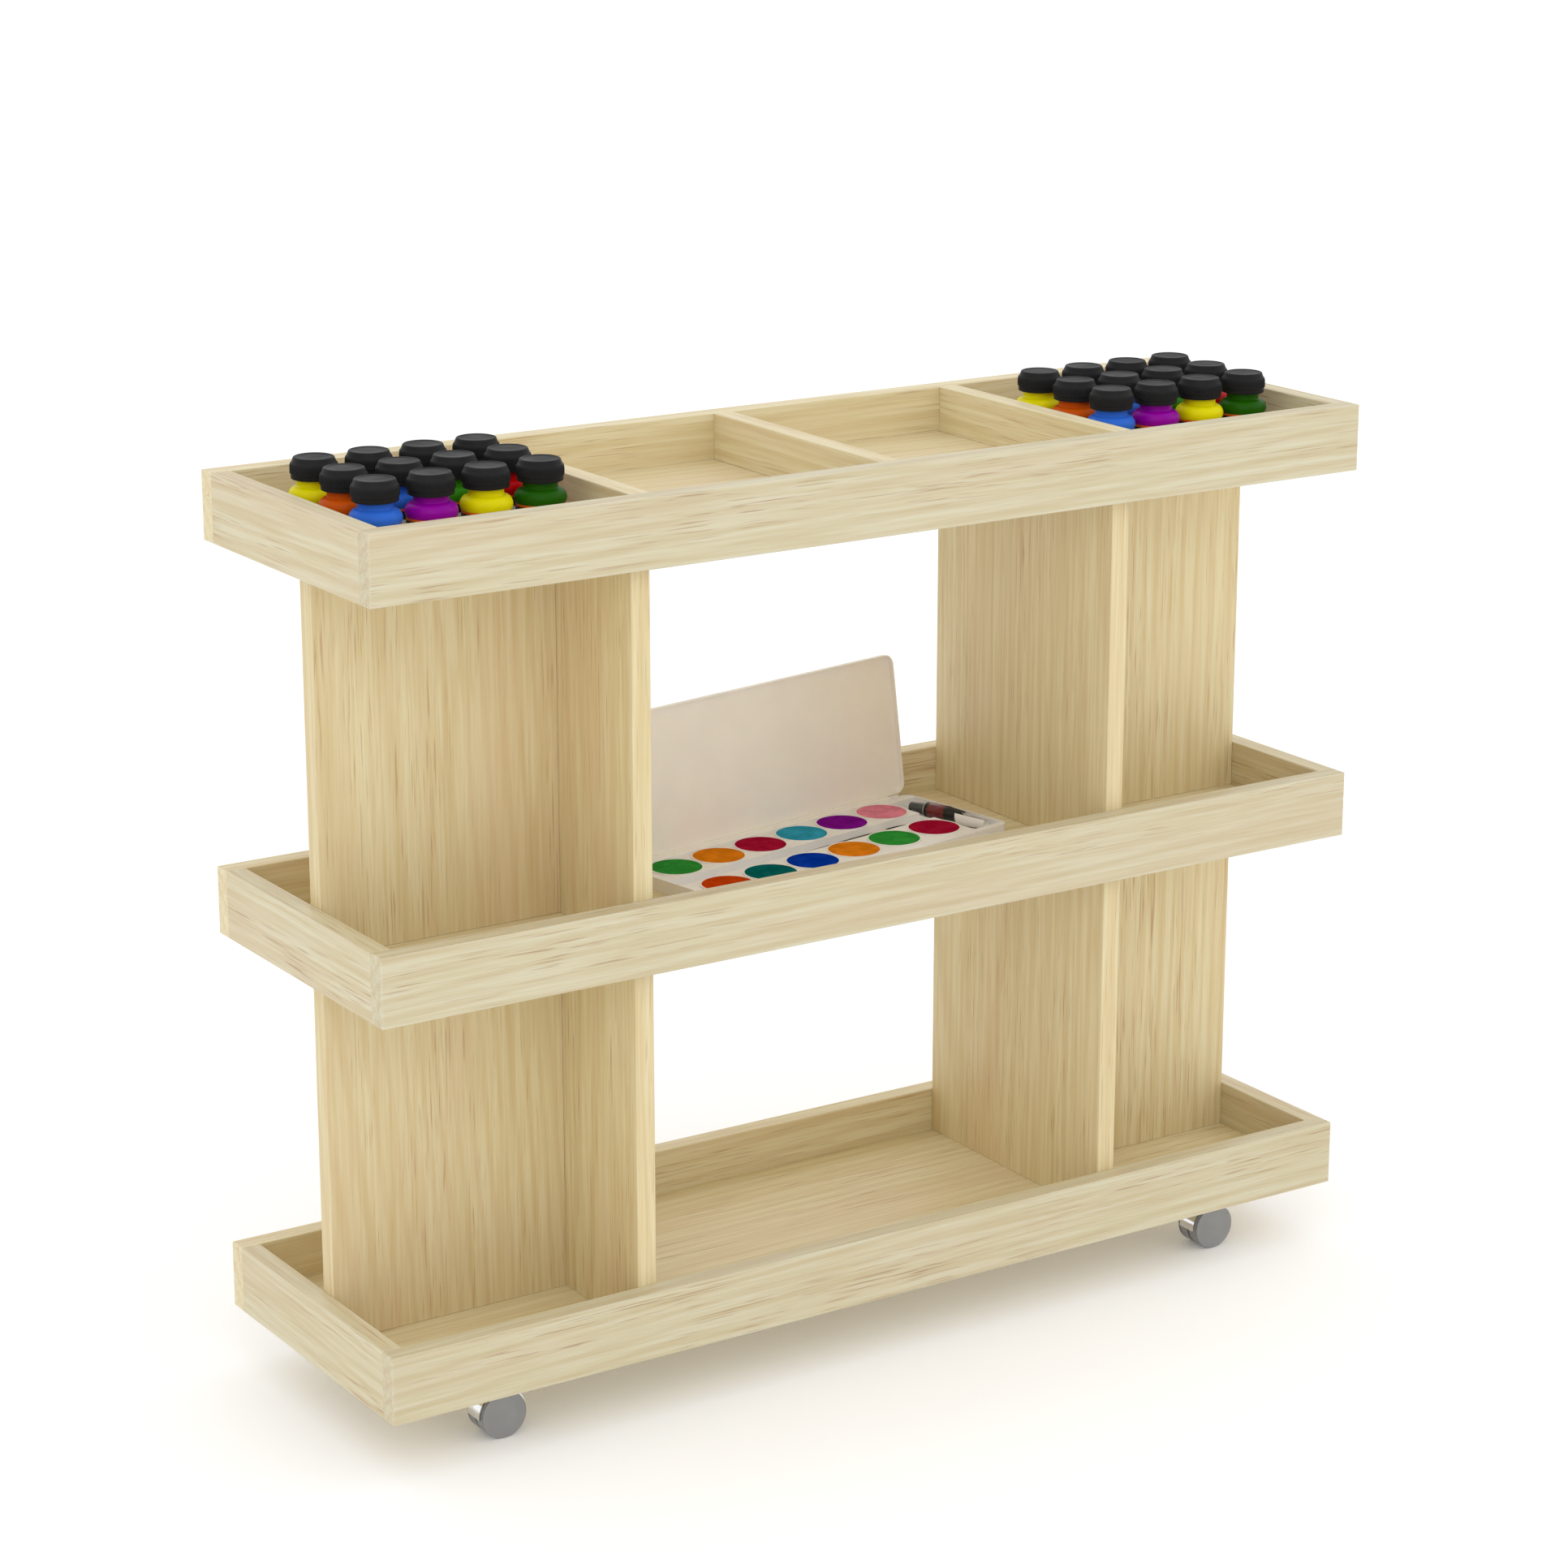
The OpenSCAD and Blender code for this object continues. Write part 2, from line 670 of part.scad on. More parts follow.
// The lid is drawn closed and then swung open about its hinge axis
module palette_lid()
    color([0.86, 0.83, 0.78]) at_palette()
        translate([0, hinge_axis_y, hinge_axis_z]) rotate([-lid_open, 0, 0])
            translate([0, -hinge_axis_y, -hinge_axis_z]) {
                difference() {
                    translate([0, 0, palette_height + lid_gap]) linear_extrude(lid_depth)
                        rounded_rect(palette_length, palette_depth, palette_corner);
                    translate([0, 0, palette_height]) linear_extrude(lid_depth + lid_gap
                            - palette_wall)
                        rounded_rect(palette_length - 2 * palette_wall,
                            palette_depth - 2 * palette_wall, palette_corner - palette_wall);
                }
                at_hinge_ends() bar_x([-knuckle / 2, hinge_axis_y, hinge_axis_z],
                    hinge_pin_r, knuckle * 1.4);
                translate([-hinge_barrel / 2, 0, 0]) {
                    bar_x([0, hinge_axis_y, hinge_axis_z], hinge_r, hinge_barrel);
                    translate([0, palette_depth / 2 - palette_wall, palette_height + lid_gap])
                        cube([hinge_barrel, hinge_axis_y - palette_depth / 2 + palette_wall,
                            hinge_r]);
                    translate([0, hinge_axis_y - hinge_r / 2, hinge_axis_z])
                        cube([hinge_barrel, hinge_r / 2,
                            palette_height + lid_gap + hinge_r - hinge_axis_z]);
                }
            }

// The brush lies in the channel, its bristles to the right
module paint_brush()
    color([0.05, 0.05, 0.05]) at_palette()
        translate([-palette_length / 2 + brush_from_left,
                pans_behind - channel_w / 2 + brush_from_channel_side, channel_z + brush_r])
            rotate([0, 90, brush_turn]) rotate_extrude($fn = 24)
                polygon([[0, 0], [0.6, 0.4], [brush_r * 0.5, 60],
                    [brush_r * 0.85, brush_length - 105], [brush_r, brush_length - 75],
                    [brush_r * 0.8, brush_length - ferrule_length - bristle_length],
                    [brush_r * 0.7, brush_length - bristle_length],
                    [brush_r * 0.8, brush_length - bristle_length * 0.7], [0.2, brush_length],
                    [0, brush_length]]);

// The marker lies askew in the locker, its cap to the back
module marker_pen()
    color([0.35, 0.03, 0.06]) at_palette()
        translate([palette_length / 2 - marker_tip_from_right,
                palette_depth / 2 - marker_tip_from_back, pan_floor + marker_r])
            rotate([-90, 0, marker_turn]) rotate_extrude($fn = 48)
                polygon([[0, 0], [3.8, 0], [4.6, 0.6], [marker_r - 0.4, 15], [marker_r, 17],
                    [marker_r, marker_length - marker_cap],
                    [marker_r - 1.4, marker_length - marker_cap],
                    [marker_r - 2.3, marker_length - 0.8],
                    [marker_r - 3.1, marker_length], [0, marker_length]]);

bottom_front_board();
bottom_back_board();
bottom_left_end();
bottom_right_end();
bottom_base();
middle_front_board();
middle_back_board();
middle_left_end();
middle_right_end();
middle_base();
top_front_board();
top_back_board();
top_left_end();
top_right_end();
top_base();
left_divider();
middle_divider();
right_divider();
lower_left_cross_panel();
lower_left_centre_panel();
lower_right_cross_panel();
lower_right_centre_panel();
upper_left_cross_panel();
upper_left_centre_panel();
upper_right_cross_panel();
upper_right_centre_panel();
tray_dowels();
upright_dowels();
panel_screws();
caster_plates();
caster_screws();
front_left_hood();
front_left_axle();
front_left_outer_wheel();
front_left_inner_wheel();
front_right_hood();
front_right_axle();
front_right_outer_wheel();
front_right_inner_wheel();
back_left_hood();
back_left_axle();
back_left_outer_wheel();
back_left_inner_wheel();
back_right_hood();
back_right_axle();
back_right_outer_wheel();
back_right_inner_wheel();
blue_bottles();
purple_bottles();
yellow_bottles();
dark_green_bottles();
light_green_bottles();
orange_bottles();
red_bottles();
bottle_caps();
palette_base();
palette_lid();
palette_paints();
paint_brush();
marker_pen();
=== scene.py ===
import json
import math
import random

import bpy
from mathutils import Euler, Matrix, Vector


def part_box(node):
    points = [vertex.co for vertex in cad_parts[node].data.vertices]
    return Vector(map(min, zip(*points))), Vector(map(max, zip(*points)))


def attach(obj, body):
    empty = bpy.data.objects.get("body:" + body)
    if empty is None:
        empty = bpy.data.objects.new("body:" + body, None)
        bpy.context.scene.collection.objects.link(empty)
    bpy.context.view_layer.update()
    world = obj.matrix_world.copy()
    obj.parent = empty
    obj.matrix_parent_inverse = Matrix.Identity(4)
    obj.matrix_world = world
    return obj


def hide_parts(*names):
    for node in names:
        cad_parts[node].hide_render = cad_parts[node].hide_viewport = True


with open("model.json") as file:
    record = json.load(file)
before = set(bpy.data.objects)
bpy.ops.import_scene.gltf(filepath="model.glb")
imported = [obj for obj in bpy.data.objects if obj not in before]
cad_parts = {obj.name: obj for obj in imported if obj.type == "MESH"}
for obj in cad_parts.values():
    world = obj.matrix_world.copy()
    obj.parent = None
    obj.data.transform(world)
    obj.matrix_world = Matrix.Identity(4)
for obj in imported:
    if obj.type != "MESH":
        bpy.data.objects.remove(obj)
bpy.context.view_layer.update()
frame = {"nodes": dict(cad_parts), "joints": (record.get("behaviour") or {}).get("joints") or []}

MM = 0.001
NODES = frame["nodes"]
JOINTS = {joint["name"]: joint for joint in frame["joints"]}

# ---------------------------------------------------------------- camera and light

CAMERA_PLACE = (-1.873, -2.8437, 1.4588)
CAMERA_TURN = math.radians(-33.08)      # from looking along +Y, towards +X
CAMERA_TILT = math.radians(74.13)       # 90 degrees is level
CAMERA_LENS = 91.72
CAMERA_SENSOR = 36
CAMERA_REACH = 100
WORLD_STRENGTH = 1.03
LIGHT_TARGET = (0, 0, 0.4)
KEY_PLACE = (-1.6, -2.6, 2.6)
KEY_SIZE = 1.8
KEY_POWER = 11
FILL_PLACE = (2.4, -1.6, 1.8)
FILL_SIZE = 2.2
FILL_POWER = 6


def make_camera():
    data = bpy.data.cameras.new("camera")
    data.lens = CAMERA_LENS
    data.sensor_width = CAMERA_SENSOR
    data.clip_end = CAMERA_REACH
    camera = bpy.data.objects.new("camera", data)
    camera.location = CAMERA_PLACE
    camera.rotation_euler = Euler((CAMERA_TILT, 0, CAMERA_TURN))
    bpy.context.scene.collection.objects.link(camera)
    bpy.context.scene.camera = camera


def make_area_light(name, place, size, power):
    data = bpy.data.lights.new(name, "AREA")
    data.shape = "DISK"
    data.size = size
    data.energy = power
    light = bpy.data.objects.new(name, data)
    light.location = place
    aim = Vector(LIGHT_TARGET) - Vector(place)
    light.rotation_euler = aim.to_track_quat("-Z", "Y").to_euler()
    bpy.context.scene.collection.objects.link(light)


def make_light():
    world = bpy.data.worlds.new("studio")
    world.use_nodes = True
    sky = world.node_tree.nodes["Background"]
    sky.inputs["Color"].default_value = (1.0, 1.0, 1.0, 1)
    sky.inputs["Strength"].default_value = WORLD_STRENGTH
    bpy.context.scene.world = world
    bpy.context.scene.view_settings.view_transform = "Standard"
    make_area_light("key", KEY_PLACE, KEY_SIZE, KEY_POWER)
    make_area_light("fill", FILL_PLACE, FILL_SIZE, FILL_POWER)


# ---------------------------------------------------------------- materials

MIX_FIRST = 6           # the sockets that a Mix node uses for colours
MIX_SECOND = 7
MIX_RESULT = 2
WAVE_FACTOR = 1         # the second output of a Wave Texture node
CLOUD_SCALE = (28, 28, 28)
DULL_SCALE = (90, 90, 90)


def srgb(red, green, blue):
    """A colour given as 0 to 255 sRGB, in the linear values that shaders use."""
    def linear(value):
        value /= 255
        return value / 12.92 if value <= 0.04045 else ((value + 0.055) / 1.055) ** 2.4
    return (linear(red), linear(green), linear(blue), 1)


class Shader:
    """A principled material whose other nodes are made and joined by short calls."""

    def __init__(self, name, **sockets):
        self.material = bpy.data.materials.new(name)
        self.material.use_nodes = True
        self.tree = self.material.node_tree
        self.surface = self.tree.nodes["Principled BSDF"]
        self.coordinates = self.tree.nodes.new("ShaderNodeTexCoord").outputs["Object"]
        for socket, value in sockets.items():
            self.surface.inputs[socket.replace("_", " ")].default_value = value

    def node(self, kind, inputs, output=0, **settings):
        made = self.tree.nodes.new(kind)
        for key, value in settings.items():
            setattr(made, key, value)
        for key, value in inputs.items():
            self.put(made.inputs[key], value)
        return made.outputs[output]

    def put(self, socket, value):
        if isinstance(value, bpy.types.NodeSocket):
            self.tree.links.new(value, socket)
        else:
            socket.default_value = value

    def math(self, operation, first, second=0.0):
        return self.node("ShaderNodeMath", {0: first, 1: second}, operation=operation)

    def stretched(self, scale, offset=(0, 0, 0), turn=(0, 0, 0)):
        """The object's own coordinates, scaled differently along each axis."""
        moved = self.node("ShaderNodeMapping",
                          {"Vector": self.coordinates, "Location": offset, "Rotation": turn},
                          vector_type="POINT")
        return self.node("ShaderNodeVectorMath", {0: moved, 1: scale}, operation="MULTIPLY")

    def noise(self, vector, scale=1.0, detail=2.0, roughness=0.5):
        return self.node("ShaderNodeTexNoise", {"Vector": vector, "Scale": scale,
                                                "Detail": detail, "Roughness": roughness})

    def ramp(self, value, low, high, to_low=0.0, to_high=1.0):
        return self.node("ShaderNodeMapRange",
                         {"Value": value, "From Min": low, "From Max": high,
                          "To Min": to_low, "To Max": to_high},
                         interpolation_type="SMOOTHSTEP")

    def mix(self, share, first, second):
        made = self.tree.nodes.new("ShaderNodeMix")
        made.data_type = "RGBA"
        self.put(made.inputs["Factor"], share)
        self.put(made.inputs[MIX_FIRST], first)
        self.put(made.inputs[MIX_SECOND], second)
        return made.outputs[MIX_RESULT]

    def finish(self, colour, roughness=None, height=None, strength=0.2, distance=0.0003):
        self.put(self.surface.inputs["Base Color"], colour)
        if roughness is not None:
            self.put(self.surface.inputs["Roughness"], roughness)
        if height is not None:
            bump = self.node("ShaderNodeBump", {"Height": height, "Strength": strength,
                                                "Distance": distance})
            self.put(self.surface.inputs["Normal"], bump)
        return self.material


PALE = srgb(222, 211, 178)
STRAW = srgb(212, 196, 156)
HONEY = srgb(201, 177, 132)
ROSE = srgb(212, 184, 150)
PORE = srgb(166, 124, 88)
# A lighter colour for the edges: a painted highlight where the eased edges catch light, together
# with wear.
ARRIS_HIGHLIGHT_AND_WEAR = srgb(228, 218, 190)
EDGE_HIGHLIGHT_AND_WEAR_WIDTH = 2.2 * MM
# Tints per kind of board. Painted shade darkens the front and end boards, which face the lamps, so
# they read as evenly lit as the rest. The other boards are lightened as painted light, and the
# panels are warmer.
BOARD_TINTS_WITH_PAINTED_SHADE = {"front_board": (0.87, 0.90, 0.94), "left_end": (0.92, 0.94, 0.96),
               "right_end": (0.92, 0.94, 0.96), "panel": (1.01, 0.98, 0.88)}
OTHER_BOARDS_PAINTED_LIGHTER = (1.05, 1.06, 1.03)
PATTERN_SPAN = 2        # how far apart two boards' patterns may be cut
PITH_NEAR = 0.05
PITH_FAR = 0.16
GRAIN_LEAN = 0.05
RING_SCALE = 26


def edge_mask(shader, low, high):
    """1 at the edges of an upright box, falling to 0 a little way in from them."""
    split = shader.node("ShaderNodeSeparateXYZ", {0: shader.coordinates}).node
    gaps = []
    for axis in range(3):
        near = shader.math("SUBTRACT", split.outputs[axis], low[axis])
        far = shader.math("SUBTRACT", high[axis], split.outputs[axis])
        gaps.append(shader.math("MINIMUM", near, far))
    smaller = shader.math("MINIMUM", gaps[0], gaps[1])
    larger = shader.math("MAXIMUM", gaps[0], gaps[1])
    second = shader.math("MAXIMUM", smaller, shader.math("MINIMUM", larger, gaps[2]))
    return shader.ramp(second, 0.0, EDGE_HIGHLIGHT_AND_WEAR_WIDTH, 1.0, 0.0)


def board_colours_with_painted_shade(name):
    """The wood's colours, tinted for each kind of board: painted shade darkens the front and end
    boards that face the lamps, the panels are warmer, and the other boards are painted a little
    lighter.
    """
    kinds = [tint for ending, tint in BOARD_TINTS_WITH_PAINTED_SHADE.items() if name.endswith(ending)]
    tint = kinds[0] if kinds else OTHER_BOARDS_PAINTED_LIGHTER
    return [tuple(min(1, value * share) for value, share in zip(colour, tint)) + (1,)
            for colour in (PALE, STRAW, HONEY, ROSE, PORE, ARRIS_HIGHLIGHT_AND_WEAR)]


def make_wood(name, grain, low, high):
    """Pale straight-grained wood, its fibres along one axis, cut differently for each board."""
    # These colours carry the board kind's tint: painted shade on the front and end boards, painted
    # light on the other boards.
    pale, straw, honey, rose, pore, arris_highlight_and_wear = board_colours_with_painted_shade(name)
    chance = random.Random(name)
    shader = Shader("wood_" + name, Specular_IOR_Level=0.35, Coat_Weight=0.12,
                    Coat_Roughness=0.35)
    along = "XYZ".index(grain)
    thin = min(range(3), key=lambda axis: high[axis] - low[axis])

    def scales(length, width, thickness):
        """How fine a pattern is along the grain, across it and through the board."""
        chosen = [width] * 3
        chosen[thin] = thickness
        chosen[along] = length
        return chosen

    offset = [chance.uniform(-PATTERN_SPAN, PATTERN_SPAN) for _ in range(3)]
    middle = (Vector(low) + Vector(high)) / 2
    pith = [-value for value in middle]
    for axis in range(3):
        if axis != along:
            pith[axis] += chance.choice((-1, 1)) * chance.uniform(PITH_NEAR, PITH_FAR)
    lean = [chance.uniform(-GRAIN_LEAN, GRAIN_LEAN) for _ in range(3)]
    lean[along] = 0
    rings = shader.node("ShaderNodeTexWave",
                        {"Vector": shader.stretched(scales(0.35, 1, 1), pith, lean),
                         "Scale": RING_SCALE, "Distortion": 3.2, "Detail": 3, "Detail Scale": 0.35,
                         "Detail Roughness": 0.55},
                        output=WAVE_FACTOR, wave_type="RINGS", rings_direction=grain)
    patches = shader.noise(shader.stretched(scales(1.7, 17, 26), offset), detail=2.5)
    fibres = shader.noise(shader.stretched(scales(7, 230, 420), offset), detail=3.5,
                          roughness=0.62)
    pores = shader.noise(shader.stretched(scales(17, 620, 800), offset), detail=2)
    pore_zone = shader.noise(shader.stretched(scales(3, 28, 28), offset), detail=1)
    streaks = shader.noise(shader.stretched(scales(4.2, 95, 120), offset), detail=2)

    colour = shader.mix(shader.ramp(fibres, 0.32, 0.68), straw, pale)
    colour = shader.mix(shader.ramp(rings, 0.45, 0.98, 0, 0.30), colour, honey)
    colour = shader.mix(shader.ramp(patches, 0.44, 0.72, 0, 0.34), colour, rose)
    colour = shader.mix(shader.ramp(streaks, 0.57, 0.72, 0, 0.36), colour, honey)
    dashes = shader.math("MULTIPLY", shader.ramp(pores, 0.56, 0.72),
                         shader.ramp(pore_zone, 0.38, 0.62, 0.08, 0.6))
    colour = shader.mix(dashes, colour, pore)
    # A lighter band along every edge, broken up by the fibres: a painted highlight together with
    # wear.
    edge_highlight_and_wear = shader.math("MULTIPLY", edge_mask(shader, low, high),
                       shader.ramp(fibres, 0.3, 0.7, 0.15, 0.55))
    colour = shader.mix(edge_highlight_and_wear, colour, arris_highlight_and_wear)
    roughness = shader.ramp(fibres, 0.3, 0.7, 0.58, 0.44)
    height = shader.math("SUBTRACT", fibres, dashes)
    return shader.finish(colour, roughness, height, 0.22, 0.25 * MM)


def plastic(name, colour, roughness, mottle=0.06, bump=0.04, grain=900, **sockets):
    """Moulded plastic: a faint cloudy tint, a fine texture and uneven gloss."""
    shader = Shader(name, **sockets)
    clouds = shader.noise(shader.stretched(CLOUD_SCALE), detail=3)
    fine = shader.noise(shader.stretched((grain, grain, grain)), detail=2)
    darker = tuple(value * (1 - 3 * mottle) for value in colour[:3]) + (1,)
    tint = shader.mix(shader.ramp(clouds, 0.3, 0.7, 0, 1), darker, colour)
    gloss = shader.ramp(clouds, 0.3, 0.7, roughness + 0.05, roughness - 0.05)
    return shader.finish(tint, gloss, fine, bump, 0.1 * MM)


def metal(name, colour, roughness, brushed=(60, 900, 900), bump=0.05):
    """Metal with fine drawn lines and a few duller patches."""
    shader = Shader(name, Metallic=1.0)
    lines = shader.noise(shader.stretched(brushed), detail=3)
    dull = shader.noise(shader.stretched(DULL_SCALE), detail=3)
    darker = tuple(value * 0.86 for value in colour[:3]) + (1,)
    tint = shader.mix(shader.ramp(dull, 0.42, 0.7, 0, 1), colour, darker)
    gloss = shader.ramp(dull, 0.35, 0.7, roughness, roughness + 0.12)
    return shader.finish(tint, gloss, lines, bump, 0.05 * MM)


def dress(node, material):
    slots = NODES[node].data.materials
    slots.clear()
    slots.append(material)


# ---------------------------------------------------------------- meshes

def make_object(name, vertices, faces, materials, face_materials=None, smooth=True):
    mesh = bpy.data.meshes.new(name)
    mesh.from_pydata([tuple(v) for v in vertices], [], faces)
    for material in materials:
        mesh.materials.append(material)
    if face_materials:
        for polygon, index in zip(mesh.polygons, face_materials):
            polygon.material_index = index
    for polygon in mesh.polygons:
        polygon.use_smooth = smooth
    mesh.validate()
    made = bpy.data.objects.new(name, mesh)
    bpy.context.scene.collection.objects.link(made)
    return made


def arc(centre_r, centre_z, radius, start, end, steps):
    """Points of a round stretch of a profile, its angles in degrees from the r axis."""
    angles = [math.radians(start + (end - start) * i / steps) for i in range(steps + 1)]
    return [(centre_r + radius * math.cos(a), centre_z + radius * math.sin(a)) for a in angles]


def lathe(profile, segments, ripple=None):
    """Vertices and faces of a closed turned body. ripple(angle, r, z) may change a radius."""
    vertices = [(0, 0, profile[0][1])]
    for r, z in profile:
        for i in range(segments):
            angle = 2 * math.pi * i / segments
            radius = ripple(angle, r, z) if ripple else r
            vertices.append((radius * math.cos(angle), radius * math.sin(angle), z))
    vertices.append((0, 0, profile[-1][1]))
    last = len(vertices) - 1
    faces = [(0, 1 + (i + 1) % segments, 1 + i) for i in range(segments)]
    for ring in range(len(profile) - 1):
        base = 1 + ring * segments
        for i in range(segments):
            j = (i + 1) % segments
            faces.append((base + i, base + j, base + segments + j, base + segments + i))
    base = 1 + (len(profile) - 1) * segments
    faces += [(last, base + i, base + (i + 1) % segments) for i in range(segments)]
    return vertices, faces


def place_copies(vertices, faces, matrices):
    """One mesh's vertices and faces, repeated at each matrix."""
    all_vertices = []
    all_faces = []
    for matrix in matrices:
        first = len(all_vertices)
        all_vertices += [matrix @ Vector(v) for v in vertices]
        all_faces += [tuple(first + i for i in face) for face in faces]
    return all_vertices, all_faces


def sharpen(piece, angle=35):
    """Keeps edges crisp that turn by more than an angle, in degrees."""
    limit = math.radians(angle)
    mesh = piece.data
    edge_faces = {}
    for polygon in mesh.polygons:
        for key in polygon.edge_keys:
            edge_faces.setdefault(key, []).append(polygon.normal.copy())
    for edge in mesh.edges:
        normals = edge_faces.get(tuple(sorted(edge.vertices)), ())
        if len(normals) == 2 and normals[0].angle(normals[1], 0) > limit:
            edge.use_edge_sharp = True


# ---------------------------------------------------------------- wood

LONG_GRAIN = {"front_board": "X", "back_board": "X", "left_end": "Y", "right_end": "Y",
              "base": "X"}


def grain_of(node):
    if node.endswith("_panel"):
        return "Z"
    if node.endswith("_divider"):
        return "Y"
    for ending, axis in LONG_GRAIN.items():
        if node.endswith(ending):
            return axis
    return None


def dress_wood():
    for node in NODES:
        grain = grain_of(node)
        if grain and not node.startswith("palette"):
            low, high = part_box(node)
            dress(node, make_wood(node, grain, low, high))
    beech = plastic("beech_dowel", srgb(196, 160, 110), 0.6, 0.08, 0.3, 400)
    dress("tray_dowels", beech)
    dress("upright_dowels", beech)


# ---------------------------------------------------------------- casters

def dress_casters():
    chrome = metal("chrome", (0.88, 0.88, 0.89, 1), 0.07, bump=0.02)
    zinc = metal("zinc", (0.62, 0.63, 0.65, 1), 0.32, bump=0.15)
    steel = metal("steel", (0.55, 0.55, 0.56, 1), 0.25, bump=0.1)
    grey = plastic("wheel_nylon", srgb(146, 146, 146), 0.5, 0.04, 0.12, 700)
    for node in NODES:
        if node.endswith("_hood"):
            dress(node, chrome)
        elif node.endswith("_axle"):
            dress(node, steel)
        elif node.endswith("_wheel"):
            dress(node, grey)
    for node in ("caster_plates", "caster_screws", "panel_screws"):
        dress(node, zinc)


# ---------------------------------------------------------------- bottles

BOTTLE_ROWS = (("blue", "purple", "yellow", "dark_green"),
               ("orange", "blue", "light_green", "red"),
               ("yellow", "red", "orange", "purple"))
PAINTS = {"blue": srgb(48, 108, 215), "purple": srgb(152, 0, 162), "yellow": srgb(238, 228, 0),
          "dark_green": srgb(32, 92, 0), "light_green": srgb(58, 148, 18),
          "orange": srgb(210, 86, 0), "red": srgb(205, 0, 8)}
PITCH_X = 50.3 * MM
PITCH_Y = 53.7 * MM
CAP_R = 20 * MM
CAP_FOOT = 45 * MM
CAP_HEIGHT = 18 * MM
CAP_RIBS = 60
CAP_SEGMENTS = 4 * CAP_RIBS
RIB_DEPTH = 0.6 * MM
RIB_START = 4.3 * MM    # heights on a cap: the ribs rise, stand full, fade and end
RIB_FULL = 5.0 * MM
RIB_FADE = 12.4 * MM
RIB_END = 13.6 * MM
RIB_REACH = 3 * MM
BOTTLE_SEGMENTS = 72
BULGE_Z = 31 * MM
BULGE_R = 8 * MM
BOTTLE_R = 21.8 * MM
NECK_R = 14.5 * MM
NECK_FILLET = 1 * MM
LABEL_R = 20.7 * MM
LABEL_FOOT = 2.2 * MM
LABEL_TOP = 27 * MM
LABEL_WALL = 0.35 * MM
PANEL_FOOT = 6.0 * MM   # heights on a label: the white panel and the orange line over it
PANEL_TOP = 18.0 * MM
LINE_FOOT = 25.0 * MM
PRINT_EDGE = 0.1 * MM


def bottle_places(colour=None):
    """Where the bottles stand, all of them or those of one colour, in two equal groups."""
    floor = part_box("top_base")[1].z
    group_x = (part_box("right_divider")[1].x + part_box("top_right_end")[0].x) / 2
    places = []
    for side in (-1, 1):
        for row, names in enumerate(BOTTLE_ROWS):
            for column, name in enumerate(names):
                if colour in (None, name):
                    places.append(Vector((side * group_x + (column - 1.5) * PITCH_X,
                                          (row - 1) * PITCH_Y, floor)))
    return places


def bottle_profile():
    centre_r = BOTTLE_R - BULGE_R
    fillet_r = NECK_R + NECK_FILLET
    meeting = math.acos((fillet_r - centre_r) / (BULGE_R + NECK_FILLET))
    fillet_z = BULGE_Z + (BULGE_R + NECK_FILLET) * math.sin(meeting)
    turn = math.degrees(meeting)
    return ([(18.2 * MM, 0.5 * MM), (18.8 * MM, 0.02 * MM)]
            + arc(19.0 * MM, 1.4 * MM, 1.4 * MM, -90, 0, 5)
            + [(20.4 * MM, 25.6 * MM)]
            + arc(centre_r, BULGE_Z, BULGE_R, -34, turn, 18)
            + arc(fillet_r, fillet_z, NECK_FILLET, turn - 180, -180, 5)[1:]
            + [(NECK_R, 42 * MM), (NECK_R, 59.8 * MM)])


def make_bottles():
    vertices, faces = lathe(bottle_profile(), BOTTLE_SEGMENTS)
    for colour, value in PAINTS.items():
        gloss = plastic("paint_" + colour, value, 0.4, 0.04, 0.03, 500,
                        Specular_IOR_Level=0.1)
        spots = [Matrix.Translation(place) for place in bottle_places(colour)]
        pots = make_object(colour + "_pots", *place_copies(vertices, faces, spots), [gloss])
        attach(pots, "root")
        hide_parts(colour + "_bottles")


def make_label_material():
    """A plain printed label without lettering: black, a white panel and an orange line."""
    shader = Shader("label_print", Specular_IOR_Level=0.4)
    split = shader.node("ShaderNodeSeparateXYZ", {0: shader.coordinates}).node
    rise = shader.math("SUBTRACT", split.outputs[2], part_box("top_base")[1].z)
    wear = shader.noise(shader.stretched((260, 260, 260)), detail=3)
    paper = shader.mix(wear, srgb(226, 222, 214), srgb(240, 238, 232))
    ink = shader.mix(wear, srgb(14, 14, 16), srgb(24, 24, 26))
    orange = shader.mix(wear, srgb(214, 88, 10), srgb(228, 104, 20))
    colour = shader.mix(shader.ramp(rise, PANEL_FOOT, PANEL_FOOT + PRINT_EDGE), ink, paper)
    colour = shader.mix(shader.ramp(rise, PANEL_TOP, PANEL_TOP + PRINT_EDGE), colour, ink)
    colour = shader.mix(shader.ramp(rise, LINE_FOOT, LINE_FOOT + PRINT_EDGE), colour, orange)
    return shader.finish(colour, shader.ramp(wear, 0.3, 0.7, 0.5, 0.38), wear, 0.05)


def make_labels():
    inside_r = LABEL_R - LABEL_WALL
    profile = [(inside_r, LABEL_FOOT), (LABEL_R, LABEL_FOOT + 0.1 * MM),
               (LABEL_R, LABEL_TOP - 0.1 * MM), (inside_r, LABEL_TOP)]
    vertices, faces = lathe(profile, BOTTLE_SEGMENTS)
    spots = [Matrix.Translation(place) for place in bottle_places()]
    labels = make_object("bottle_labels", *place_copies(vertices, faces, spots),
                         [make_label_material()])
    sharpen(labels)
    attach(labels, "root")


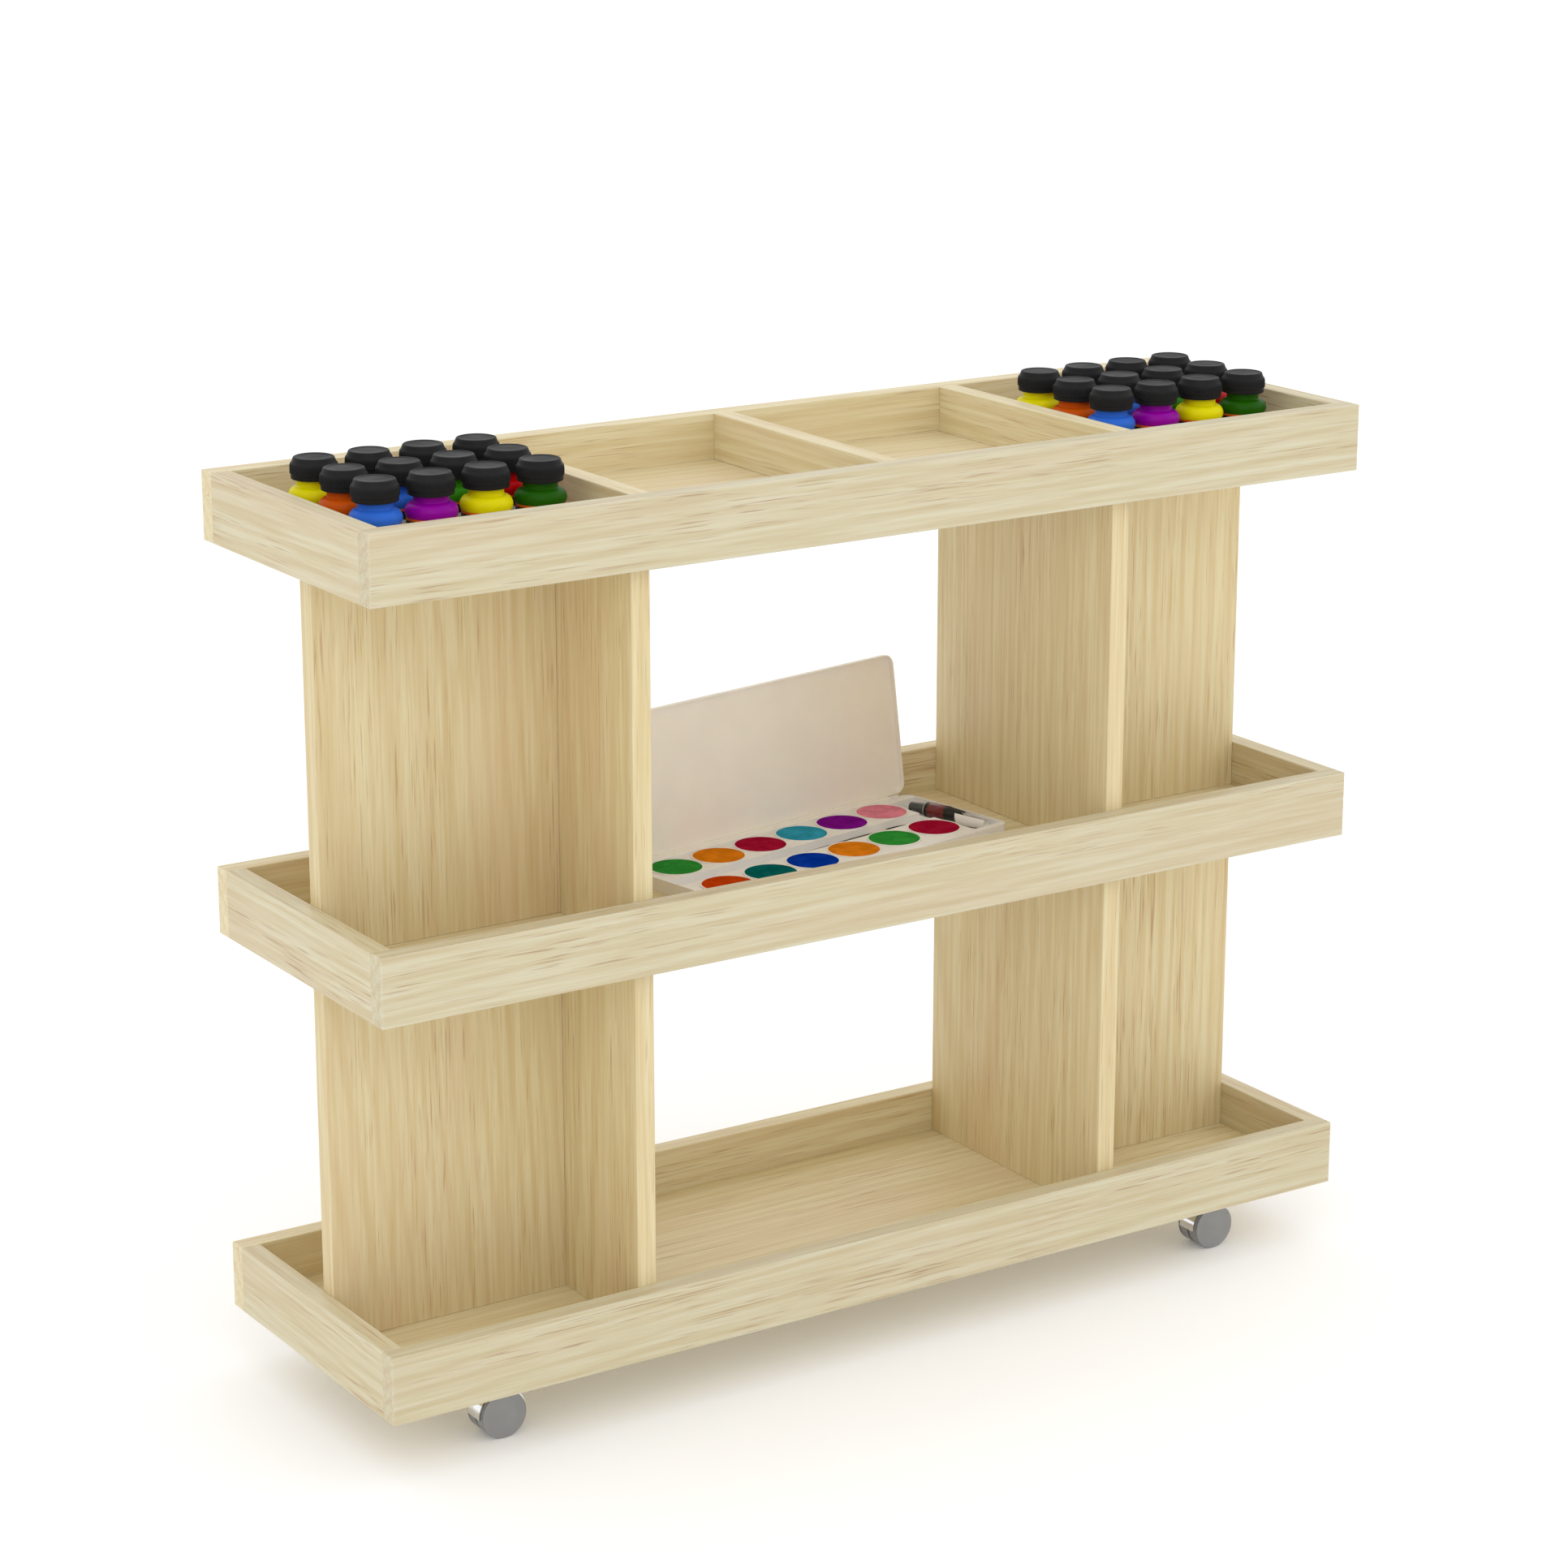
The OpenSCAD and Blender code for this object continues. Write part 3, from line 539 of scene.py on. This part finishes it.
def cap_profile():
    """The outside of a cap, from the inside of its lower edge to the middle of its top."""
    r = CAP_R
    return ([(NECK_R + 1.2 * MM, 0.0), (r - 1.6 * MM, 0.0)]
            + arc(r - 1.6 * MM, 0.7 * MM, 0.7 * MM, -80, 0, 4)
            + [(r - 0.9 * MM, 4.2 * MM), (r - 0.15 * MM, 4.6 * MM), (r, 5.2 * MM),
               (r, 7.5 * MM), (r - 0.1 * MM, 10.5 * MM), (r - 0.5 * MM, 12.6 * MM),
               (r - 1.1 * MM, 13.3 * MM), (r - 1.6 * MM, 13.8 * MM),
               (r - 2.5 * MM, 16.0 * MM)]
            + arc(r - 4.1 * MM, CAP_HEIGHT - 1.3 * MM, 1.3 * MM, 20, 90, 5)
            + [(r - 5.0 * MM, CAP_HEIGHT), (r - 5.4 * MM, CAP_HEIGHT - 0.25 * MM),
               (r - 12 * MM, CAP_HEIGHT - 0.3 * MM)])


def rib(angle, r, z):
    """Ribs that stand out over the middle of a cap's side and fade at both ends."""
    if z <= RIB_START or z >= RIB_END or r < CAP_R - RIB_REACH:
        return r
    rise = min(1, (z - RIB_START) / (RIB_FULL - RIB_START), (RIB_END - z) / (RIB_END - RIB_FADE))
    wave = 0.5 + 0.5 * math.cos(CAP_RIBS * angle)
    return r - RIB_DEPTH * rise * (1 - wave)


def make_caps():
    chance = random.Random("caps")
    vertices, faces = lathe(cap_profile(), CAP_SEGMENTS, rib)
    spots = []
    for place in bottle_places():
        turn = Matrix.Rotation(chance.uniform(0, 2 * math.pi), 4, "Z")
        spots.append(Matrix.Translation(place + Vector((0, 0, CAP_FOOT))) @ turn)
    black = plastic("cap_plastic", srgb(35, 35, 36), 0.5, 0.06, 0.12, 1200,
                    Specular_IOR_Level=0.1)
    caps = make_object("ribbed_caps", *place_copies(vertices, faces, spots), [black])
    sharpen(caps, 50)
    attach(caps, "root")
    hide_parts("bottle_caps")


# ---------------------------------------------------------------- palette

HINGE = JOINTS["palette_lid_hinge"]
PALETTE_RIGHT = Vector(HINGE["axis"]).normalized()
PALETTE_BACK = Vector((0, 0, 1)).cross(PALETTE_RIGHT)
HINGE_BEHIND = 67.9 * MM
HINGE_ABOVE = 10.8 * MM
PALETTE_ORIGIN = (Vector(HINGE["pos_m"]) - HINGE_BEHIND * PALETTE_BACK
                  - Vector((0, 0, HINGE_ABOVE)))
# The rows are the palette's own axes, so the inverse turns its coordinates into the frame's.
PALETTE_AXES = Matrix(((*PALETTE_RIGHT.xy, 0, 0), (*PALETTE_BACK.xy, 0, 0),
                       (0, 0, 1, 0), (0, 0, 0, 1)))
PALETTE_MATRIX = Matrix.Translation(PALETTE_ORIGIN) @ PALETTE_AXES.inverted()
PAN_PITCH = 50.5 * MM
PANS_LEFT = 12.45 * MM
PANS_BEHIND = 6 * MM
PAN_ROW = 34 * MM
PAINT_R = 23.15 * MM
PAINT_FLOOR = 2.05 * MM
PAINT_TOP = 11.7 * MM
PAINT_DOME = 0.25 * MM
PAINT_RINGS = 9
PAINT_SEGMENTS = 64
PAINT_WAVES = 3
FULL_TURN = 6.3         # a little over 2 pi, for a wave's chance phase
PAN_COLOURS = (
    (srgb(192, 62, 4), srgb(0, 92, 90), srgb(0, 50, 158),           # orange-red, teal, blue
     srgb(218, 124, 20), srgb(48, 144, 56), srgb(160, 16, 52)),     # orange, green, crimson
    (srgb(48, 140, 56), srgb(218, 124, 20), srgb(160, 16, 52),      # green, orange, crimson
     srgb(50, 152, 182), srgb(122, 14, 140), srgb(222, 132, 152)))  # light blue, purple, pink
BRUSH_LENGTH = 273 * MM
BRUSH_START = Vector((-158.5 * MM, -0.6 * MM, 6.2 * MM))
BRUSH_TURN = math.radians(1.9)
BRUSH_SEGMENTS = 28
MARKER_START = Vector((166.4 * MM, -14.4 * MM, 8.9 * MM))
MARKER_TURN = math.radians(14)
MARKER_SEGMENTS = 48
PAPER_LENGTH = 29 * MM
PAPER_THICKNESS = 0.35 * MM
PAPER_X = 161.8 * MM
PAPER_Y = -31.5 * MM
PAPER_FLOOR = 2.4 * MM
PAPER_TURN = math.radians(-80)
CURL_EDGE = math.radians(135)
CURL_TURN = math.radians(290)
CURL_STEPS_ALONG = 16
CURL_STEPS_ROUND = 36


def make_dried_paint(name, colour):
    """Dried watercolour: cloudy tone, brush swirls and a slightly uneven, satin surface."""
    shader = Shader(name, Specular_IOR_Level=0.0)
    cloud = shader.noise(shader.stretched((70, 70, 70)), detail=4, roughness=0.6)
    swirl = shader.node("ShaderNodeTexWave", {"Vector": shader.stretched((1, 1, 1)),
                                              "Scale": 60, "Distortion": 9, "Detail": 3,
                                              "Detail Scale": 1.4},
                        output=WAVE_FACTOR, wave_type="BANDS")
    darker = tuple(value * 0.85 for value in colour[:3]) + (1,)
    lighter = tuple(min(1, value * 1.1 + 0.004) for value in colour[:3]) + (1,)
    tint = shader.mix(shader.ramp(cloud, 0.35, 0.7), darker, lighter)
    tint = shader.mix(shader.ramp(swirl, 0.75, 1, 0, 0.14), tint, lighter)
    height = shader.math("ADD", cloud, shader.math("MULTIPLY", swirl, 0.25))
    return shader.finish(tint, shader.ramp(cloud, 0.3, 0.7, 0.6, 0.45), height, 0.3, 0.3 * MM)


def make_paints():
    chance = random.Random("paints")
    for row, colours in enumerate(PAN_COLOURS):
        for column, value in enumerate(colours):
            waves = [(chance.uniform(1, 3), chance.uniform(0, FULL_TURN),
                      chance.uniform(0.05, 0.15) * MM) for _ in range(PAINT_WAVES)]
            profile = [(PAINT_R, PAINT_FLOOR), (PAINT_R, PAINT_TOP)]
            profile += [(PAINT_R * (1 - i / PAINT_RINGS), PAINT_TOP)
                        for i in range(1, PAINT_RINGS)]
            vertices, faces = lathe(profile, PAINT_SEGMENTS)
            shaped = []
            for x, y, z in vertices:
                share = math.hypot(x, y) / PAINT_R
                if z > PAINT_FLOOR:
                    wobble = sum(size * math.sin(turns * math.atan2(y, x) + phase + 4 * share)
                                 for turns, phase, size in waves)
                    z += PAINT_DOME * (1 - share ** 2) + wobble * share * (1 - share ** 3)
                shaped.append((x, y, z))
            place = Vector(((column - 2.5) * PAN_PITCH - PANS_LEFT,
                            PANS_BEHIND + (2 * row - 1) * PAN_ROW, 0))
            spot = PALETTE_MATRIX @ Matrix.Translation(place)
            name = f"pan_paint_{row + 1}_{column + 1}"
            paint = make_object(name, [spot @ Vector(v) for v in shaped], faces,
                                [make_dried_paint(name, value)])
            sharpen(paint)
            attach(paint, "root")
            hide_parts("palette_paints")


def make_turned_parts(name, parts, segments, spot, node):
    """A piece of several turned lengths on one axis, each with its own material."""
    vertices = []
    faces = []
    indices = []
    materials = []
    for index, (profile, material) in enumerate(parts):
        part_vertices, part_faces = lathe(profile, segments)
        first = len(vertices)
        vertices += [spot @ Vector(v) for v in part_vertices]
        faces += [tuple(first + i for i in face) for face in part_faces]
        indices += [index] * len(part_faces)
        materials.append(material)
    piece = make_object(name, vertices, faces, materials, indices)
    sharpen(piece)
    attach(piece, "root")
    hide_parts(node)


def make_brush():
    spot = (PALETTE_MATRIX @ Matrix.Translation(BRUSH_START)
            @ Matrix.Rotation(BRUSH_TURN, 4, "Z") @ Matrix.Rotation(math.pi / 2, 4, "Y"))
    lacquer = plastic("brush_lacquer", srgb(16, 16, 18), 0.22, 0.1, 0.03, 300, Coat_Weight=0.5)
    ferrule = metal("ferrule", (0.75, 0.72, 0.62, 1), 0.2, brushed=(900, 900, 60))
    hair = plastic("brush_hair", srgb(30, 22, 18), 0.7, 0.2, 0.6, 2500)
    handle_end = BRUSH_LENGTH - 44 * MM
    handle = [(0.3 * MM, 0.0), (0.6 * MM, 0.5 * MM), (1.1 * MM, 60 * MM),
              (1.9 * MM, handle_end - 61 * MM), (2.15 * MM, handle_end - 31 * MM),
              (2.05 * MM, handle_end - 14 * MM), (1.6 * MM, handle_end)]
    tube = [(1.5 * MM, handle_end - 0.1 * MM), (1.7 * MM, handle_end),
            (1.7 * MM, handle_end + 3 * MM), (1.55 * MM, handle_end + 3.4 * MM),
            (1.7 * MM, handle_end + 3.8 * MM), (1.35 * MM, handle_end + 17 * MM)]
    tip = [(1.2 * MM, handle_end + 16.8 * MM), (1.5 * MM, handle_end + 22 * MM),
           (1.3 * MM, handle_end + 30 * MM), (0.6 * MM, handle_end + 39 * MM),
           (0.1 * MM, BRUSH_LENGTH)]
    parts = ((handle, lacquer), (tube, ferrule), (tip, hair))
    make_turned_parts("brush", parts, BRUSH_SEGMENTS, spot, "paint_brush")


def make_marker():
    spot = (PALETTE_MATRIX @ Matrix.Translation(MARKER_START)
            @ Matrix.Rotation(MARKER_TURN, 4, "Z") @ Matrix.Rotation(-math.pi / 2, 4, "X"))
    black = plastic("marker_black", srgb(18, 18, 18), 0.35, 0.06, 0.03, 700)
    red = plastic("marker_red", srgb(104, 8, 20), 0.28, 0.06, 0.03, 700, Coat_Weight=0.4)
    white = plastic("marker_ring", srgb(226, 226, 226), 0.35, 0.03, 0.03, 700)
    cap = plastic("marker_cap", srgb(62, 64, 66), 0.3, 0.06, 0.03, 700, Coat_Weight=0.3)
    nozzle = [(2.4 * MM, 0.0), (3.7 * MM, 0.1 * MM), (4.4 * MM, 0.8 * MM),
              (6.4 * MM, 14 * MM), (6.8 * MM, 15.5 * MM), (6.8 * MM, 18.5 * MM)]
    barrel = [(6.7 * MM, 18.4 * MM), (6.8 * MM, 18.7 * MM), (6.85 * MM, 36 * MM),
              (6.75 * MM, 36.2 * MM)]
    collar = [(6.7 * MM, 36.1 * MM), (6.88 * MM, 36.5 * MM), (6.88 * MM, 39.6 * MM),
              (6.5 * MM, 40 * MM)]
    ring = [(5.6 * MM, 39.9 * MM), (6.1 * MM, 40.0 * MM), (6.1 * MM, 40.7 * MM),
            (5.6 * MM, 40.8 * MM)]
    lid = ([(5.3 * MM, 40.7 * MM), (5.5 * MM, 41.0 * MM), (4.7 * MM, 55.8 * MM)]
           + arc(3.5 * MM, 56.0 * MM, 1.2 * MM, 0, 90, 4) + [(2.6 * MM, 57.1 * MM)])
    parts = ((nozzle, black), (barrel, red), (collar, black), (ring, white), (lid, cap))
    make_turned_parts("marker", parts, MARKER_SEGMENTS, spot, "marker_pen")


def make_paper_curl():
    """A scrap of white paper that has rolled itself up at the marker's tip."""
    vertices = []
    for i in range(CURL_STEPS_ALONG + 1):
        along = i / CURL_STEPS_ALONG
        for j in range(CURL_STEPS_ROUND + 1):
            share = j / CURL_STEPS_ROUND
            flap = (1 - along) ** 2 * max(0, share - 0.7) / 0.3
            radius = (7.2 - 1.4 * along) * MM * (0.74 + 0.26 * share) + 1.3 * MM * flap
            angle = CURL_EDGE + CURL_TURN * (1 - share)
            vertices.append(Vector(((along - 0.5) * PAPER_LENGTH - 2.5 * MM * flap,
                                    radius * math.cos(angle), radius * math.sin(angle))))
    row = CURL_STEPS_ROUND + 1
    faces = [(i * row + j, (i + 1) * row + j, (i + 1) * row + j + 1, i * row + j + 1)
             for i in range(CURL_STEPS_ALONG) for j in range(CURL_STEPS_ROUND)]
    lowest = min(v.z for v in vertices)
    spot = (PALETTE_MATRIX @ Matrix.Translation((PAPER_X, PAPER_Y, PAPER_FLOOR - lowest))
            @ Matrix.Rotation(PAPER_TURN, 4, "Z"))
    paper = plastic("white_paper", srgb(238, 233, 226), 0.75, 0.02, 0.2, 1500,
                    Specular_IOR_Level=0.1)
    curl = make_object("paper_curl", [spot @ v for v in vertices], faces, [paper])
    solid = curl.modifiers.new("thickness", "SOLIDIFY")
    solid.thickness = PAPER_THICKNESS
    bpy.context.view_layer.objects.active = curl
    bpy.ops.object.modifier_apply(modifier=solid.name)
    sharpen(curl, 60)
    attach(curl, "root")


def dress_palette():
    white = plastic("palette_plastic", srgb(238, 234, 229), 0.36, 0.02, 0.04, 500,
                    Specular_IOR_Level=0.2)
    milky = plastic("lid_plastic", srgb(244, 238, 228), 0.42, 0.01, 0.04, 400,
                    Subsurface_Weight=0.6, Subsurface_Radius=(0.02, 0.018, 0.015))
    dress("palette_base", white)
    dress("palette_lid", milky)


# ---------------------------------------------------------------- floor

FLOOR_HALF = 30
FLOOR_DROP = 0.0002
FLOOR_GLOW = 0.07


def make_floor():
    corners = [(-FLOOR_HALF, -FLOOR_HALF, -FLOOR_DROP), (FLOOR_HALF, -FLOOR_HALF, -FLOOR_DROP),
               (FLOOR_HALF, FLOOR_HALF, -FLOOR_DROP), (-FLOOR_HALF, FLOOR_HALF, -FLOOR_DROP)]
    shader = Shader("floor_paint", Specular_IOR_Level=0.1, Emission_Strength=FLOOR_GLOW)
    shader.surface.inputs["Emission Color"].default_value = (1, 1, 1, 1)
    cloud = shader.noise(shader.stretched((0.7, 0.7, 0.7)), detail=2)
    tint = shader.mix(cloud, srgb(253, 253, 254), srgb(255, 255, 255))
    paint = shader.finish(tint, 0.9)
    floor = make_object("floor", corners, [(0, 1, 2, 3)], [paint], smooth=False)


make_camera()
make_light()
make_floor()
dress_wood()
dress_casters()
make_bottles()
make_labels()
make_caps()
dress_palette()
make_paints()
make_brush()
make_marker()
make_paper_curl()
